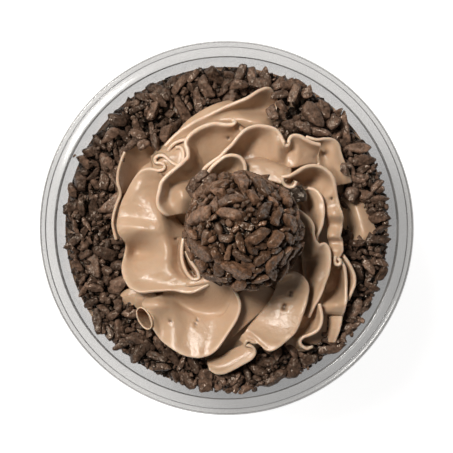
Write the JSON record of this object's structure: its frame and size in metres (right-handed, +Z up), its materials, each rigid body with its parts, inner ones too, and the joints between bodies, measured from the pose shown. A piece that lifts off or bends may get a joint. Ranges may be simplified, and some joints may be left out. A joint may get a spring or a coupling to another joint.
{
  "type": "cup of brigadeiro cake",
  "caption": "Clear plastic dessert cup filled with chocolate cake and cream, topped with a ruffled chocolate cream swirl, a ring of chocolate flakes and a flake-coated brigadeiro ball.",
  "frame": {"origin": "centre of the cup's flat underside", "axes": "+Z up out of the cup; +Y towards the top of the view from above; +X to its right"},
  "size_m": [0.095, 0.0948, 0.0986],
  "materials": {
    "clear_plastic": "clear to milky thin moulded plastic, glossy",
    "chocolate_cake": "moist dark chocolate cake crumb, matte",
    "bed_cream": "smooth milk chocolate cream, soft satin",
    "swirl_cream": "piped milk chocolate cream, satin with soft highlights",
    "ring_chocolate": "dark chocolate flakes, dusty with small glints",
    "ball_chocolate": "dark chocolate flakes pressed on, slightly glossy"
  },
  "bodies": {
    "root": {"cup": "clear_plastic", "cake": "chocolate_cake", "cream_bed": "bed_cream", "cream_swirl": "swirl_cream", "flake_ring": "ring_chocolate", "brigadeiro": "ball_chocolate"}
  },
  "joints": []
}
